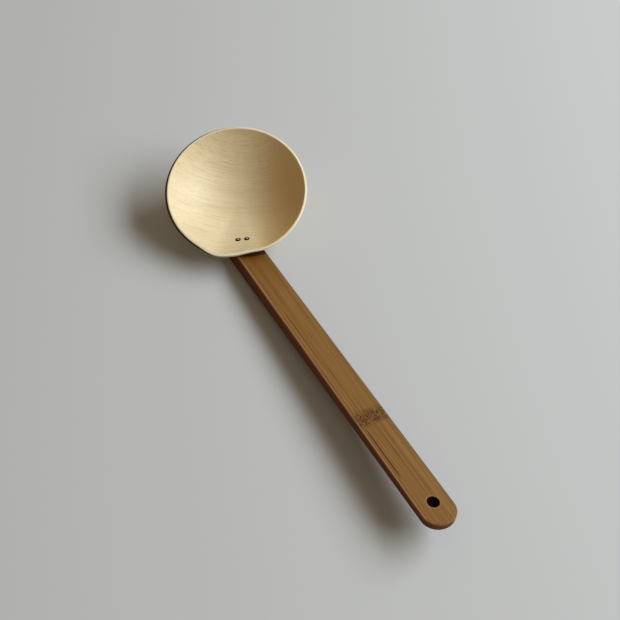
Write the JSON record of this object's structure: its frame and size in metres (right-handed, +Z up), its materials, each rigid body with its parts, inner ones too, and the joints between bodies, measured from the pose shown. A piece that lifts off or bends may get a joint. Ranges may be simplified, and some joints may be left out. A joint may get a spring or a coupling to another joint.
{
  "type": "soup ladle",
  "caption": "Wooden soup ladle: a shallow round turned bowl with a thin lip, pegged to a flat smoked-bamboo handle with a round tip and a hanging hole.",
  "frame": {"origin": "middle of the ladle's footprint, on the table it lies on", "axes": "+X along the handle from the bowl to the tip, +Y across the handle, +Z up from the table"},
  "size_m": [0.2732, 0.0806, 0.0388],
  "materials": {
    "maple": "satin",
    "smoked_bamboo": "satin",
    "peg_bamboo": "matte"
  },
  "bodies": {
    "root": {"bowl": "maple", "handle": "smoked_bamboo", "peg_left": "peg_bamboo", "peg_right": "peg_bamboo"}
  },
  "joints": []
}
